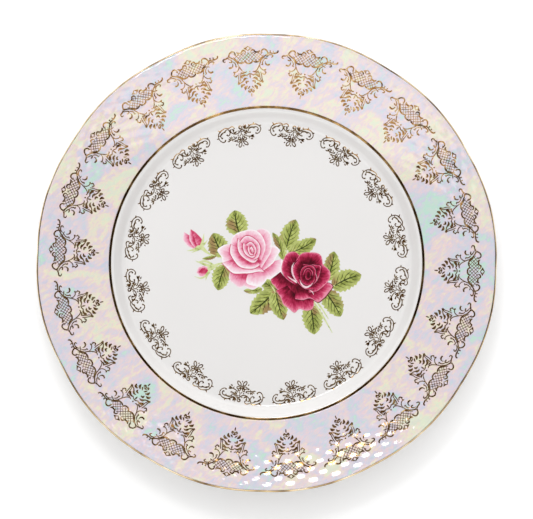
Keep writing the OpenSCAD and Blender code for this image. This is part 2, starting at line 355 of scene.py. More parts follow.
fine_rim = [p for p in rim_line if p[0] > verge_line_r + verge_line_w + 0.1]
lip_crown = go(rim_line[-1], [(lip_r, edge_line_slope)], 0.3)
fine_rim = fine_rim[:-1] + lip_crown
under_rim = fine_rim[::-8] + [fine_rim[0]]
lustre = turned("lustre_of_rim", offset(fine_rim, coats) + offset(under_rim, glaze_t), 600)
points = points_of(lustre)
r, angle = np.hypot(points[:, 0], points[:, 1]), np.arctan2(points[:, 1], points[:, 0])
rim_top = np.array(offset(rim_line, coats))
is_top = points[:, 2] > np.interp(r, rim_top[:, 0], rim_top[:, 1]) - lustre_t / 2
points[:, 2] += embossing(r, angle) * is_top
put_points(lustre, points)
lobed(lustre)

pearl = surface("pearl_lustre", Roughness=0.1, Coat_Weight=0.4, Coat_Roughness=0.03, Coat_IOR=1.9)
brushed = node(pearl, "Mapping", {"Vector": node(pearl, "TexCoord", {}).outputs["Object"],
                                  "Scale": (1 / 190, 1 / 430, 1),
                                  "Rotation": (0, 0, math.radians(42))}, vector_type="TEXTURE").outputs[0]
strokes = node(pearl, "TexNoise", {"Vector": brushed, "Scale": 1, "Detail": 4, "Roughness": 0.62,
                                   "Distortion": 0.8}).outputs["Fac"]
sheen_clouds = node(pearl, "Math", {0: grain(pearl, 48, 3, 0.8), 1: 0.6}, operation="MULTIPLY").outputs[0]
sheen_clouds = node(pearl, "Math", {0: strokes, 1: 0.4, 2: sheen_clouds}, operation="MULTIPLY_ADD").outputs[0]
sheen_clouds = node(pearl, "MapRange", {"Value": sheen_clouds, "From Min": 0.385, "From Max": 0.615}).outputs[0]
mint, periwinkle, lavender = (0.50, 0.74, 0.63), (0.58, 0.62, 0.75), (0.70, 0.62, 0.73)
pink_tint, cream, pale_green = (0.82, 0.63, 0.65), (0.85, 0.76, 0.57), (0.74, 0.79, 0.60)
pearl_veil = (0.69, 0.685, 0.67, 1)
# Painted iridescent sheen: the lustre's shifting colours are fixed in its base colour as clouds of pastel
# tints.
painted_sheen_tints = bands(pearl, sheen_clouds, [(0, mint), (0.16, periwinkle), (0.38, lavender),
                              (0.6, pink_tint), (0.8, cream), (1, pale_green)])
streaks = node(pearl, "MapRange", {"Value": grain(pearl, 330, 4, 0.8, 0.6), "From Min": 0.35,
                                   "From Max": 0.72, "To Min": 0, "To Max": 0.6}).outputs[0]
veiled = node(pearl, "Mix", {0: streaks, 6: painted_sheen_tints, 7: pearl_veil}, data_type="RGBA").outputs[2]
connect(pearl, veiled, "Base Color")
lustre.data.materials.append(pearl)
fitted(lustre, "pearl_lustre", "pearl_lustre")

# --- Gilt lines -------------------------------------------------------------------------------------
# Two lines of bright gold banded on with a brush while the plate turns: one rolls over the lip, and
# one runs along the shoulder where the rim meets the well. Their gold is darker in patches, partly for wear
# and partly as painted dark reflection, with lighter patches as painted glints.


def gold(name, shades, patch_scale, metal=1):
    """Fired bright gold in three shades, from dark to full, in patches of about this size: wear, and in the
    gilt lines also painted dark reflections and glints.
    """
    made = surface(name, Metallic=metal)
    wear_and_painted_glints = node(made, "MapRange", {"Value": grain(made, patch_scale, 3), "From Min": 0.32,
                                   "From Max": 0.68}).outputs[0]
    connect(made, bands(made, wear_and_painted_glints, list(zip((0, 0.5, 1), shades))), "Base Color")
    connect(made, node(made, "MapRange", {"Value": wear_and_painted_glints, "To Min": 0.09, "To Max": 0.2}).outputs[0],
            "Roughness")
    connect(made, node(made, "Bump", {"Height": grain(made, 700, 2), "Strength": 0.1,
                                      "Distance": 0.0001}).outputs["Normal"], "Normal")
    return made


# The gilt lines' darkest shades are painted dark reflection and their light patches painted glints, as well
# as wear.
gilt = gold("bright_gold", [(0.15, 0.085, 0.032), (0.58, 0.43, 0.24), (0.92, 0.80, 0.58)], 60)
dark_gold = gold("worn_gold_and_painted_glints", [(0.07, 0.035, 0.012), (0.20, 0.11, 0.035), (0.62, 0.40, 0.17)], 110)
thin_gold = gold("thin_printed_gold", [(0.22, 0.09, 0.022), (0.38, 0.205, 0.068), (0.66, 0.51, 0.29)], 600,
                 0.82)
band_line = go(lip_crown[-1], [(lip_r, rim_slope_out - 180)], 0.3)
edge_band = turned("gilt_edge", offset(band_line, coats) + offset(band_line[::-1], glaze_t), 480)
lobed(edge_band)
edge_band.data.materials.append(gilt)
fitted(edge_band, "gilding", "gold_edge_line")

verge = [p for p in shoulder_line + rim_line[1:]
         if verge_line_r - 0.1 < p[0] < verge_line_r + verge_line_w + 0.3]
verge_band = turned("gilt_verge", offset(verge, coats) + offset(verge[::-1], glaze_t), 480)
verge_band.data.materials.append(dark_gold)
fitted(verge_band, "gilding", "gold_verge_line")

# --- Rim ornaments ----------------------------------------------------------------------------------
# Twenty-two gold transfers: each is printed in liquid bright gold, slid on wet with its crest to
# the lip, smoothed down over the bumps and fired. A latticed cartouche hangs a bouquet on two stems.

print_t, film_step, stroke_spread, print_lift = 0.05, 0.004, 1.2, 0.005
rim_prints_r, rim_prints_start, rim_prints = 110.8, 10.8, 22


def mirrored(strokes):
    return strokes + [[(-x, y, w) for x, y, w in stroke] for stroke in strokes]


def leaflets(*leaves):
    """Short pointed strokes: each leaf is its foot, its tip and its half width."""
    return [[(x0, y0, w * 0.35), (0.55 * x0 + 0.45 * x1, 0.55 * y0 + 0.45 * y1, w), (x1, y1, w * 0.1)]
            for (x0, y0), (x1, y1), w in leaves]


def star(x, y, reach, points, turn_by, w):
    """A little open star of pointed strokes round a point."""
    angles = [math.radians(turn_by + k * 360 / points) for k in range(points)]
    return leaflets(*[((x + 0.25 * reach * math.sin(a), y + 0.25 * reach * math.cos(a)),
                       (x + reach * math.sin(a), y + reach * math.cos(a)), w) for a in angles])


def inked(name, strokes, detail=5):
    """Draws strokes of (x, y, half width) points as flat curves on a level sheet, a hair's breadth
    over one another, and gives them the thickness of a print. Lengths are in millimetres."""
    drawing = bpy.data.curves.new(name, "CURVE")
    drawing.dimensions, drawing.twist_mode = "3D", "Z_UP"
    drawing.resolution_u, drawing.extrude = detail, stroke_spread
    for layer, stroke in enumerate(strokes):
        spline = drawing.splines.new("BEZIER")
        spline.bezier_points.add(len(stroke) - 1)
        for point, (x, y, w) in zip(spline.bezier_points, stroke):
            point.co = (x, y, layer % 7 * film_step)
            point.handle_left_type = point.handle_right_type = "AUTO"
            point.radius, point.tilt = w, math.pi / 2
    sheet = bpy.data.objects.new(name, drawing)
    bpy.context.collection.objects.link(sheet)
    bpy.ops.object.select_all(action="DESELECT")
    sheet.select_set(True)
    bpy.context.view_layer.objects.active = sheet
    bpy.ops.object.convert(target="MESH")
    sheet = bpy.context.object
    thicken(sheet, print_t)
    sheet.data.transform(Matrix.Scale(MM, 4))
    return sheet


def thicken(sheet, thickness):
    """Makes a flat sheet a closed film with this thickness, its top side up."""
    bpy.ops.object.mode_set(mode="EDIT")
    bpy.ops.mesh.select_all(action="SELECT")
    bpy.ops.mesh.remove_doubles(threshold=1e-4)
    bpy.ops.object.mode_set(mode="OBJECT")
    film = sheet.modifiers.new("film", "SOLIDIFY")
    film.thickness, film.offset = thickness, 0
    bpy.ops.object.modifier_apply(modifier=film.name)
    bpy.ops.object.mode_set(mode="EDIT")
    bpy.ops.mesh.select_all(action="SELECT")
    bpy.ops.mesh.normals_make_consistent(inside=False)
    bpy.ops.object.mode_set(mode="OBJECT")
    bpy.ops.object.shade_smooth_by_angle(angle=math.radians(35))


def face_height(r, angle):
    """Height of the finished face, bumps and all, at a place on the plate."""
    top = np.array(offset(face_line, glaze_t))
    lustred = np.clip((r - verge_line_r) / 0.2, 0, 1) * lustre_t
    return np.interp(r, top[:, 0], top[:, 1]) + lustred + embossing(r, angle)


def laid_on(name, flat, radius, turn_by):
    """A copy of a flat print, moved out to a radius, turned clockwise and smoothed down."""
    print_ = flat.copy()
    print_.data = flat.data.copy()
    print_.name = name
    bpy.context.collection.objects.link(print_)
    points = points_of(print_)
    a = math.radians(turn_by)
    x, y = points[:, 0].copy(), points[:, 1] + radius
    points[:, 0] = x * math.cos(a) + y * math.sin(a)
    points[:, 1] = y * math.cos(a) - x * math.sin(a)
    r, angle = np.hypot(points[:, 0], points[:, 1]), np.arctan2(points[:, 1], points[:, 0])
    points[:, 2] += face_height(r, angle) + print_t / 2 + print_lift
    put_points(print_, points)
    return print_


pitch, lattice_y = 2.05, 8.6
lattice = [[(foot - lean * 2.7, lattice_y - 2.7, 0.13), (foot + lean * 2.7, lattice_y + 2.6, 0.13)]
           for foot in (k * pitch for k in range(-2, 3)) for lean in (-1, 1)] + mirrored([
               [(2.8, 11.3, 0.13), (7.2, 7.0, 0.13)], [(5.2, 11.0, 0.13), (8.6, 8.0, 0.13)],
               [(3.4, 5.9, 0.13), (8.4, 10.8, 0.13)], [(5.6, 6.1, 0.13), (8.9, 9.2, 0.13)]])
knots = [[(k * pitch - 0.25, y, 0.24), (k * pitch + 0.25, y, 0.24)]
         for y, row in ((6.6, (-1, 0, 1)), (8.6, (-3, -2, -1, 0, 1, 2, 3)),
                        (10.6, (-2, -1, 1, 2))) for k in row]

crest = mirrored([
    [(2.4, 13.5, 0.1), (1.1, 13.8, 0.32), (0, 14.7, 0.12)],
    [(2.3, 13.4, 0.1), (1.0, 13.0, 0.28), (0, 12.1, 0.12)]])
cartouche = mirrored([
    [(7.5, 9.8, 0.16), (7.7, 11.2, 0.3), (8.8, 12.2, 0.36), (10.3, 11.8, 0.36), (11.2, 10.6, 0.32),
     (11.5, 9.4, 0.42)],
    [(11.5, 9.4, 0.42), (9.9, 8.7, 0.3), (8.4, 7.8, 0.34), (7.1, 6.5, 0.48), (6.5, 5.5, 0.2)],
    [(2.4, 6.2, 0.22), (3.2, 5.7, 0.34), (4.8, 5.5, 0.38), (6.6, 6.2, 0.34), (7.3, 7.2, 0.16)],
    [(2.3, 6.5, 0.16), (1.5, 5.4, 0.36), (0, 4.9, 0.38)],
    [(1.5, 10.9, 0.14), (1.8, 12.0, 0.32), (3.2, 12.4, 0.4), (3.9, 11.4, 0.32), (5.4, 11.0, 0.38),
     (6.9, 11.8, 0.2)],
    [(9.5, 5.6, 0.14), (9.6, 4.1, 0.28), (10.5, 3.3, 0.42), (12.0, 3.4, 0.34)],
    [(9.3, 6.7, 0.16), (8.2, 5.8, 0.26), (7.7, 4.5, 0.28), (7.9, 3.8, 0.26), (6.9, 3.7, 0.16)]])
arms = [
    [(11.1, 9.7, 0.42), (12.7, 9.8, 0.28), (14.2, 9.5, 0.32), (15.7, 9.4, 0.36), (17.1, 9.9, 0.38),
     (17.5, 10.8, 0.3)],
    [(12.7, 9.9, 0.2), (12.9, 11.2, 0.34)], [(14.6, 9.7, 0.2), (14.7, 10.8, 0.28)],
    [(10.2, 7.5, 0.16), (11.5, 8.6, 0.26), (13.0, 8.8, 0.28), (14.1, 8.0, 0.34), (13.2, 7.2, 0.2)],
    [(8.4, 7.4, 0.16), (10.2, 6.9, 0.28), (10.9, 6.5, 0.16)],
    [(-11.8, 9.1, 0.42), (-13.3, 8.5, 0.3), (-14.7, 8.0, 0.36), (-14.8, 7.1, 0.28), (-13.5, 6.7, 0.14)],
    [(-12.0, 8.3, 0.16), (-10.4, 7.6, 0.28), (-9.8, 6.6, 0.32), (-11.4, 6.4, 0.3)]]
stems = mirrored([
    [(6.8, 5.7, 0.24), (6.1, 4.0, 0.24), (5.1, 2.2, 0.24), (3.9, 0.7, 0.24), (2.6, 0.1, 0.28),
     (1.7, 0.5, 0.2)],
    [(6.1, 3.5, 0.16), (6.3, 2.2, 0.22), (7.1, 1.2, 0.22), (8.2, 0.6, 0.24), (9.4, 0.8, 0.32)],
    [(9.4, 0.9, 0.3), (8.8, -0.2, 0.2), (9.5, -1.1, 0.32)],
    [(9.4, -1.0, 0.24), (8.2, -1.9, 0.34), (7.2, -1.0, 0.26)],
    [(6.3, -0.2, 0.22), (6.7, -2.2, 0.22), (6.8, -4.5, 0.22), (7.4, -6.3, 0.28)],
    [(5.1, -0.2, 0.28), (5.6, -2.2, 0.22), (5.8, -4.3, 0.2), (7.0, -6.2, 0.22)],
    [(7.3, -6.4, 0.3), (6.0, -5.7, 0.28), (4.7, -5.1, 0.28), (3.7, -4.2, 0.32)]])
bouquet = mirrored([
    [(5.3, 0.3, 0.2), (4.3, -0.2, 0.38), (3.2, -0.4, 0.22)],
    [(5.1, -3.0, 0.35), (4.4, -1.9, 0.62), (3.0, -1.4, 0.4), (1.6, -1.8, 0.18)],
    [(2.0, -1.8, 0.2), (1.0, -1.1, 0.24), (0, -0.8, 0.28)],
    [(4.2, -4.8, 0.24), (3.5, -3.8, 0.58), (2.6, -3.3, 0.42), (1.5, -3.5, 0.16)],
    [(2.5, -6.4, 0.2), (2.4, -5.3, 0.52), (1.0, -5.0, 0.22)],
    [(5.6, -8.3, 0.24), (5.0, -7.1, 0.68), (3.4, -6.7, 0.28)],
    [(3.4, -9.9, 0.24), (3.2, -8.5, 0.66), (2.0, -7.6, 0.26)],
    [(2.0, -9.3, 0.16), (1.3, -8.7, 0.38), (0.6, -7.8, 0.2)],
    [(1.7, -10.1, 0.22), (1.1, -11.1, 0.52), (0.4, -10.4, 0.22)],
    [(1.4, -9.9, 0.16), (0, -9.5, 0.26)]]) + [
    [(0, 0.9, 0.2), (0, 0.4, 0.4), (0, 0, 0.2)], [(0, -1.3, 0.2), (0, -2.3, 0.38), (0, -3.3, 0.12)],
    [(0, -9.8, 0.32), (0, -11.0, 0.2)], [(0, -11.7, 0.2), (0, -12.8, 0.32), (0, -13.8, 0.2)]]
# How far each transfer was laid past its place by hand, in degrees.
slips = (0.7, 0.8, 0.8, 0.7, 0.4, 0.2, -0.1, -1, -1.6, -2, -0.9,
         -0.2, 0, 0.1, 0.2, 0.1, 0.5, 0.5, 0.6, 0.5, 0.3, 0.5)

rim_print = inked("flat_rim_print", lattice + knots + crest + cartouche + arms + stems + bouquet, 4)
rim_print.data.materials.append(thin_gold)
for k, slip in enumerate(slips):
    ornament = laid_on(f"rim_print_{k + 1:02d}", rim_print, rim_prints_r,
                       rim_prints_start + k * 360 / rim_prints + slip)
    fitted(ornament, "gilding", f"rim_ornament_{k + 1:02d}")
bpy.data.objects.remove(rim_print)

# --- Well ornaments ---------------------------------------------------------------------------------
# Sixteen smaller gold transfers in a ring round the floor, just inside the wall: two scrolls
# joined over a daisy, with a spray at each side.

daisy_x, daisy_y = 0.8, -4.4


def drop(turn_by, near, far, half_width, w=0.24):
    """An open petal of the daisy: one stroke down its side, round its tip and back."""
    a = math.radians(turn_by)
    outline = [(0, near), (half_width, 0.55 * near + 0.45 * far),
               (half_width * 0.75, 0.15 * near + 0.85 * far), (0, far),
               (-half_width * 0.75, 0.15 * near + 0.85 * far), (-half_width, 0.55 * near + 0.45 * far),
               (0, near)]
    return [(daisy_x + across * math.cos(a) + out * math.sin(a),
             daisy_y - across * math.sin(a) + out * math.cos(a), w) for across, out in outline]


scrolls = [
    [(-2.5, 2.8, 0.32), (-2.3, 3.6, 0.22), (-3.2, 4.4, 0.26), (-4.4, 4.2, 0.22), (-5.4, 3.8, 0.2),
     (-7.1, 4.2, 0.22), (-8.8, 3.8, 0.22), (-10.6, 2.8, 0.32), (-11.8, 1.6, 0.22), (-12.2, 0.2, 0.22),
     (-12.1, -1.3, 0.22), (-11.3, -2.8, 0.22), (-10, -3.6, 0.24), (-8.9, -3.2, 0.28), (-8.5, -2.4, 0.4)],
    [(-10.5, 2.7, 0.36), (-11.9, 3.7, 0.16)],
    [(-12.2, -1, 0.3), (-13.4, -1.1, 0.16)],
    [(-7.8, 2.2, 0.4), (-9.1, 1.9, 0.22), (-10.1, 1.3, 0.42), (-10.9, 0.2, 0.22), (-10.8, -0.5, 0.22),
     (-9.9, -1.4, 0.38)],
    [(-11.9, 0.6, 0.16), (-10.9, 0.2, 0.22)],
    [(-8.1, 2.1, 0.42), (-7.2, 3.0, 0.22), (-6.0, 3.2, 0.22), (-5.3, 2.3, 0.3), (-5.2, 1.1, 0.22),
     (-5.7, 0, 0.22), (-6.6, -0.4, 0.22), (-7.3, 0.4, 0.4)],
    [(-4.1, 3.1, 0.16), (-4.9, 1.9, 0.46), (-4.1, 0.8, 0.22), (-2.6, -0.1, 0.26), (-1.5, -0.3, 0.22),
     (-0.1, 0.2, 0.26), (1.0, 1.2, 0.26), (2.1, 2.2, 0.26), (2.1, 3.3, 0.22), (1.5, 3.9, 0.22),
     (0.6, 3.6, 0.28), (0.7, 2.7, 0.38), (1.5, 2.2, 0.4)],
    [(-3.8, 2.8, 0.16), (-2.9, 2.2, 0.42), (-3.1, 1.3, 0.22), (-2.2, 0.6, 0.38), (-1.3, 1.4, 0.2)],
    [(6.6, 3.1, 0.32), (7.9, 3.4, 0.22), (9.4, 3.4, 0.32), (10.9, 3.0, 0.22), (12.2, 1.9, 0.22),
     (12.9, 0.5, 0.22), (12.5, -1, 0.22), (11.3, -2.1, 0.22), (10, -2.3, 0.24), (9.4, -1.7, 0.4)],
    [(9.4, 3.4, 0.32), (9.4, 4.5, 0.2)],
    [(12.3, 1.8, 0.3), (13.4, 1.9, 0.26)],
    [(5.6, -0.1, 0.2), (5.7, 0.8, 0.22), (6.5, 1.6, 0.32), (7.4, 1.9, 0.36), (9.1, 1.6, 0.36),
     (10.6, 1.5, 0.22), (11.4, 0.5, 0.22), (11.2, -0.4, 0.28), (10.4, -0.7, 0.42)],
    [(9.1, 1.6, 0.3), (9.1, 0.8, 0.16)],
    [(4.1, -0.1, 0.3), (5.3, -0.7, 0.22), (6.8, -0.9, 0.38)],
    [(1.5, 0.9, 0.2), (1.2, -0.7, 0.22), (1.9, -1.9, 0.22)],
    [(2.9, 0.3, 0.2), (3.6, -1.0, 0.22), (4.4, -1.3, 0.34)],
    [(2.6, -1.3, 0.22), (4.1, -2.5, 0.22), (5.6, -3.1, 0.26), (7.4, -3.2, 0.4), (8.2, -3.0, 0.2)],
    [(-7, -3.6, 0.16), (-5, -3.1, 0.26), (-3.4, -3.0, 0.26), (-2, -2.4, 0.26)]]
sprays = leaflets(
    ((4.0, 1.6), (2.7, 3.9), 0.42), ((4.2, 1.8), (3.6, 4.7), 0.36), ((4.5, 2.4), (4.6, 4.3), 0.32),
    ((4.4, 1.4), (7.0, 2.9), 0.42), ((6.6, 2.6), (6.2, 4.2), 0.36), ((3.8, 1.2), (1.6, 0.4), 0.36),
    ((4.2, 1.0), (5.2, -1.0), 0.42), ((3.6, 0.9), (3.9, -1.2), 0.32), ((3.0, 1.8), (1.9, 1.4), 0.3),
    ((3.4, 2.0), (5.2, 2.2), 0.5), ((-0.7, 1.0), (0.3, 1.4), 0.28), ((6.5, -3.3), (8.4, -4.2), 0.46),
    ((6.2, -3.1), (8.4, -2.6), 0.4), ((5.6, -3.3), (5.1, -4.3), 0.26), ((6.1, -4.4), (7.5, -5.2), 0.36),
    ((-5.9, -3.5), (-7.7, -3.8), 0.36), ((-5.4, -3.1), (-6.9, -2.2), 0.36),
    ((-5, -2.6), (-6.1, -1.2), 0.36), ((-4.5, -2.6), (-4.8, -1.0), 0.32),
    ((-3.2, -2.4), (-3.5, -1.1), 0.32), ((-2.3, -2.9), (-2.1, -1.6), 0.42),
    ((-1.0, -1.8), (-0.6, -0.7), 0.3), ((0.2, -2.0), (0.6, -0.9), 0.3),
    ((-2.2, -4.2), (-4.0, -4.2), 0.46), ((-4.6, -3.3), (-4.4, -4.2), 0.26),
    ((-2.4, -6.2), (-3.2, -7.0), 0.36), ((1.0, -7.4), (1.2, -8.5), 0.3))
daisy = [drop(*petal_shape) for petal_shape in (
    (209, 0.9, 4.4, 0.75), (139, 0.9, 4.4, 0.75), (268, 0.8, 3.0, 0.65), (80, 0.8, 2.9, 0.65),
    (318, 0.8, 2.6, 0.55), (42, 0.8, 2.7, 0.55))] + star(daisy_x, daisy_y, 1.0, 6, 0, 0.3)

well_prints_r, well_prints_start, well_prints = 78, 10.6, 16
well_print = inked("flat_well_print", scrolls + sprays + daisy, 4)
well_print.data.materials.append(thin_gold)
for k in range(well_prints):
    ornament = laid_on(f"well_print_{k + 1:02d}", well_print, well_prints_r,
                       well_prints_start + k * 360 / well_prints)
    fitted(ornament, "gilding", f"well_ornament_{k + 1:02d}")
bpy.data.objects.remove(well_print)

# --- Roses ------------------------------------------------------------------------------------------
# The spray is a ceramic colour transfer, printed in several screens and fired under a thin flux.
# Each rose is laid petal over petal, pale at the lip and deep at the base, the back ones first.

def through(points, count):
    """A smooth line through a few points, as count evenly spaced ones."""
    p = np.array([points[0], *points, points[-1]], float)
    t = np.linspace(0, len(points) - 1 - 1e-9, count)
    k, f = t.astype(int), (t % 1)[:, None]
    a, b, c, d = p[k], p[k + 1], p[k + 2], p[k + 3]
    return (2 * b + (c - a) * f + (2 * a - 5 * b + 4 * c - d) * f ** 2 + (3 * b - a - 3 * c + d) * f ** 3) / 2


def patch(name, across, place_of, tone_of, layer, number):
    """A level sheet of paint: a grid whose (u, v) points go where place_of says, and whose UV map
    holds u, with a whole number that tells the strokes apart, and a tone."""
    along = 28
    bpy.ops.object.select_all(action="DESELECT")
    bpy.ops.mesh.primitive_grid_add(x_subdivisions=along, y_subdivisions=across, size=2)
    sheet = bpy.context.object
    sheet.name = name
    grid = np.array([v.co[:2] for v in sheet.data.vertices])
    u, v = (grid[:, 0] + 1) / 2, (grid[:, 1] + 1) / 2
    x, y = place_of(u, v)
    tone = tone_of(u, v)
    for loop, uv in zip(sheet.data.loops, sheet.data.uv_layers.active.data):
        uv.uv = (number + u[loop.vertex_index] * 0.98 + 0.01, tone[loop.vertex_index])
    sheet.data.vertices.foreach_set("co",
                                    np.column_stack([x, y, np.full(len(x), layer * film_step)]).ravel())
    return sheet


def petal(lip, base, deep, pale, layer):
    """A petal between its lip and its base, shaded from the deep tone there to the pale one."""
    def place_of(u, v):
        count = 141
        outer, inner = through(lip, count), through(base, count)
        k = np.rint(u * (count - 1)).astype(int)
        waves = np.sin(2 * math.pi * (2.3 * u + 0.37 * math.ceil(layer))) * np.sin(math.pi * u)
        at = inner[k] + (outer[k] - inner[k]) * (v * (1 + 0.045 * v * waves))[:, None]
        return at[:, 0], at[:, 1]

    def tone_of(u, v):
        ends = 1 - 0.28 * np.abs(2 * u - 1) ** 4
        return (deep + (pale - deep) * v ** 1.5 + 0.2 * (v > 0.95)) * ends
    return patch("petal", 10, place_of, tone_of, layer, int(layer))


def shaded(lip, base, deep, pale, layer, tone=0.2, reach=0.5):
    """The narrow shade that a petal's lip throws on the petals behind it."""
    middle = np.mean(base, axis=0)
    away = [np.array(p) - middle for p in lip]
    wide = [tuple(middle + a * (1 + reach / np.hypot(*a))) for a in away]
    return petal(wide, base, tone, tone - 0.16, layer - 0.5)


def pasted(name, sheets):
    """Joins sheets of paint, and prints them on the floor of the well as one film."""
    bpy.ops.object.select_all(action="DESELECT")
    for sheet in sheets:
        sheet.select_set(True)
    bpy.context.view_layer.objects.active = sheets[0]
    if len(sheets) > 1:
        bpy.ops.object.join()
    print_ = bpy.context.object
    print_.name = name
    thicken(print_, print_t)
    points = points_of(print_) * MM
    points[:, 2] += floor_z + glaze_t + print_t / 2 + print_lift
    put_points(print_, points)
    return print_


def paint(name, shades, streak=0.16):
    """Ceramic colour with shades by tone, broken into fine streaks that run out to the lip."""
    made = surface(name, Roughness=0.12, Coat_Weight=0.3, Coat_Roughness=0.03)
    uv = node(made, "UVMap", {}).outputs["UV"]
    tone = node(made, "SeparateXYZ", {"Vector": uv}).outputs["Y"]
    spread = node(made, "VectorMath", {0: uv, 1: (34, 2.2, 1)}, operation="MULTIPLY").outputs[0]
    hairs = node(made, "TexNoise", {"Vector": spread, "Scale": 1.0, "Detail": 3}).outputs["Fac"]
    wash = grain(made, 420, 3)
    shift = node(made, "Math", {0: hairs, 1: wash}, operation="ADD").outputs[0]
    shift = node(made, "MapRange", {"Value": shift, "From Min": 0.6, "From Max": 1.4,
                                    "To Min": -streak, "To Max": streak}).outputs[0]
    connect(made, bands(made, node(made, "Math", {0: tone, 1: shift}, operation="ADD").outputs[0], shades),
            "Base Color")
    return made


pink_paint = paint("pink_paint", [(0, (0.42, 0.012, 0.06)), (0.2, (0.62, 0.07, 0.16)),
                                  (0.38, (0.79, 0.27, 0.41)), (0.6, (0.87, 0.53, 0.63)),
                                  (0.8, (0.90, 0.72, 0.78)), (0.96, (0.94, 0.87, 0.89))])
crimson_paint = paint("crimson_paint", [(0, (0.05, 0.002, 0.007)), (0.22, (0.16, 0.004, 0.02)),
                                        (0.42, (0.38, 0.015, 0.06)), (0.66, (0.60, 0.06, 0.15)),
                                        (0.9, (0.76, 0.26, 0.36))], 0.24)
pale_paint = surface("pale_lip_paint", Roughness=0.12)
connect(pale_paint, bands(pale_paint, grain(pale_paint, 700, 2),
                          [(0.3, (0.78, 0.46, 0.54)), (0.7, (0.88, 0.74, 0.77))]), "Base Color")

pink_petals = [
    ([(-21.5, -5.5), (-21.8, -8.5), (-19.5, -12), (-16.5, -13.8), (-13.5, -13.5), (-11.8, -11)],
     [(-18, -3.5), (-14, -4), (-9.5, -5.5)], 0.05, 0.72),
    ([(-13, -13), (-9.8, -15.2), (-6, -14.6), (-3.5, -12.5)], [(-11, -10), (-5, -11)], 0.3, 0.92),
    ([(9, 2.5), (9.4, -1.5), (8, -5.5), (4.5, -8), (1, -9.2), (-2, -8)],
     [(0, 0), (-2, -2), (-4, -4)], 0.12, 1.0),
    ([(-11.5, -8), (-11.6, -11.2), (-8.5, -13.4), (-4, -13.2), (-0.8, -11), (0.6, -8)],
     [(-10, -4), (-5, -4), (-1, -4)], 0.3, 1.05),
    ([(0.5, 9.8), (5.5, 10.2), (7.4, 7.8), (6.3, 4.5), (4, 0.5), (-1.5, -4)],
     [(-3, 6), (-4, 2), (-4.5, -3)], 0.1, 1.02),
    ([(-5.5, 19.5), (-2.5, 20.4), (1.5, 17.8), (3.2, 12.5), (2.4, 7), (-0.5, 1.5), (-3.5, -3.5)],
     [(-6, 15), (-4.5, 10), (-5, 4), (-5.5, -1)], 0.12, 0.84),
    ([(-20.8, 9), (-20.4, 14), (-16.8, 18), (-11, 19.7), (-6, 18.6), (-2, 15), (-0.6, 9.5), (-3, 2)],
     [(-15, 4), (-14, 9), (-10.5, 11), (-7, 9), (-6, 3)], 0.1, 0.86),
    ([(-20, 11.2), (-25, 10.8), (-28.2, 7.8), (-26.8, 4), (-25, -0.5), (-20, -5)],
     [(-18, 8), (-18.5, 4.5), (-16, 1), (-12, -2)], 0.12, 0.98),
    ([(-25.8, 0), (-21, -4.6), (-16.5, -6.2), (-11, -5.8), (-5.5, -4.9), (-1.5, -5)],
     [(-18, 3), (-14, 1), (-10, 0), (-5, -0.5)], 0.02, 1.02),
    ([(-20.8, 11), (-21, 5.5), (-18.2, 0.5), (-13.6, -2.7), (-8, -3.2), (-4, -1)],
     [(-15, 9), (-14, 5), (-11, 2), (-8, 1), (-5.5, 2)], 0.05, 1.0),
    ([(-16.6, 14.5), (-17, 9.5), (-15, 5), (-11, 1.4), (-7, 0.6), (-4.5, 3.5)],
     [(-12, 11.5), (-12, 9), (-11, 6), (-8.5, 4.5), (-7, 5)], 0.02, 0.9),
    ([(-15.5, 12.5), (-12.6, 15.6), (-8.4, 15.2), (-4.9, 12.2), (-3.8, 8), (-4.8, 3.6), (-7.5, 2)],
     [(-11, 9.5), (-9.5, 10.5), (-7.5, 9), (-7.4, 6), (-8, 5)], 0.1, 0.84),
    ([(-13.4, 12), (-13.8, 8.5), (-12, 5.2), (-8.8, 3.2), (-6.4, 4.4)],
     [(-10.5, 9.5), (-10, 7.5), (-8.5, 6), (-7.8, 6)], 0.05, 0.88),
    ([(-12, 10.8), (-9.6, 12.4), (-6.9, 10.4), (-6.0, 7.2), (-7, 4.6)],
     [(-9.8, 8.6), (-8.9, 9), (-8.1, 7.8), (-8, 6)], 0.12, 0.86),
    ([(-10.7, 10), (-10.9, 7.4), (-9.4, 4.9), (-7.7, 4.9)],
     [(-9, 8.4), (-8.9, 7.2), (-8.2, 6.2)], 0.05, 0.95),
    ([(-9.8, 8.4), (-9.0, 9.7), (-7.9, 8.4), (-7.6, 6.4)],
     [(-9, 7.6), (-8.6, 7.4), (-8.3, 6.6)], 0.3, 0.98)]
